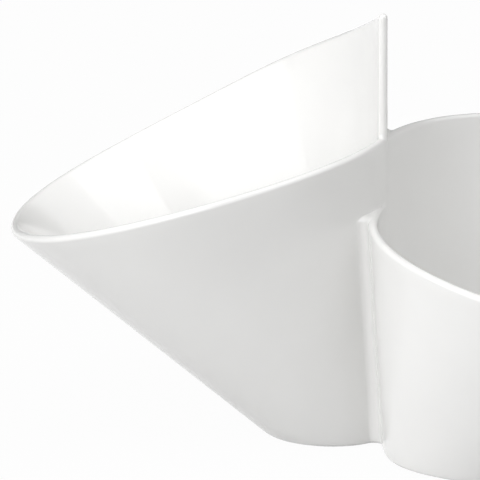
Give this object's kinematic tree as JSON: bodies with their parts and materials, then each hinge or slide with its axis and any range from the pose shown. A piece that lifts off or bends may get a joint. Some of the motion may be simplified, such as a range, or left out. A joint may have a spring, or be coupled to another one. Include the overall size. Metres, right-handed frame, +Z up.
{
  "type": "chip and dip bowl",
  "caption": "White glossy serving bowl: a ribbon of wall winds from a tall free edge round a narrow dip bowl, then on round a wide chip bowl, on soft non-slip pads.",
  "frame": {"origin": "middle of the bounding box in plan, on the surface that the pads stand on", "axes": "+Z up, +X from the dip bowl to the chip bowl, +Y towards the tall back wall of the dip bowl"},
  "size_m": [0.3592, 0.2034, 0.1763],
  "materials": {
    "shell": "gloss",
    "pad": "matte"
  },
  "bodies": {
    "root": {"bowl_body": "shell", "dip_pad_1": "pad", "dip_pad_2": "pad", "dip_pad_3": "pad", "chip_pad_1": "pad", "chip_pad_2": "pad", "chip_pad_3": "pad", "chip_pad_4": "pad"}
  },
  "joints": []
}
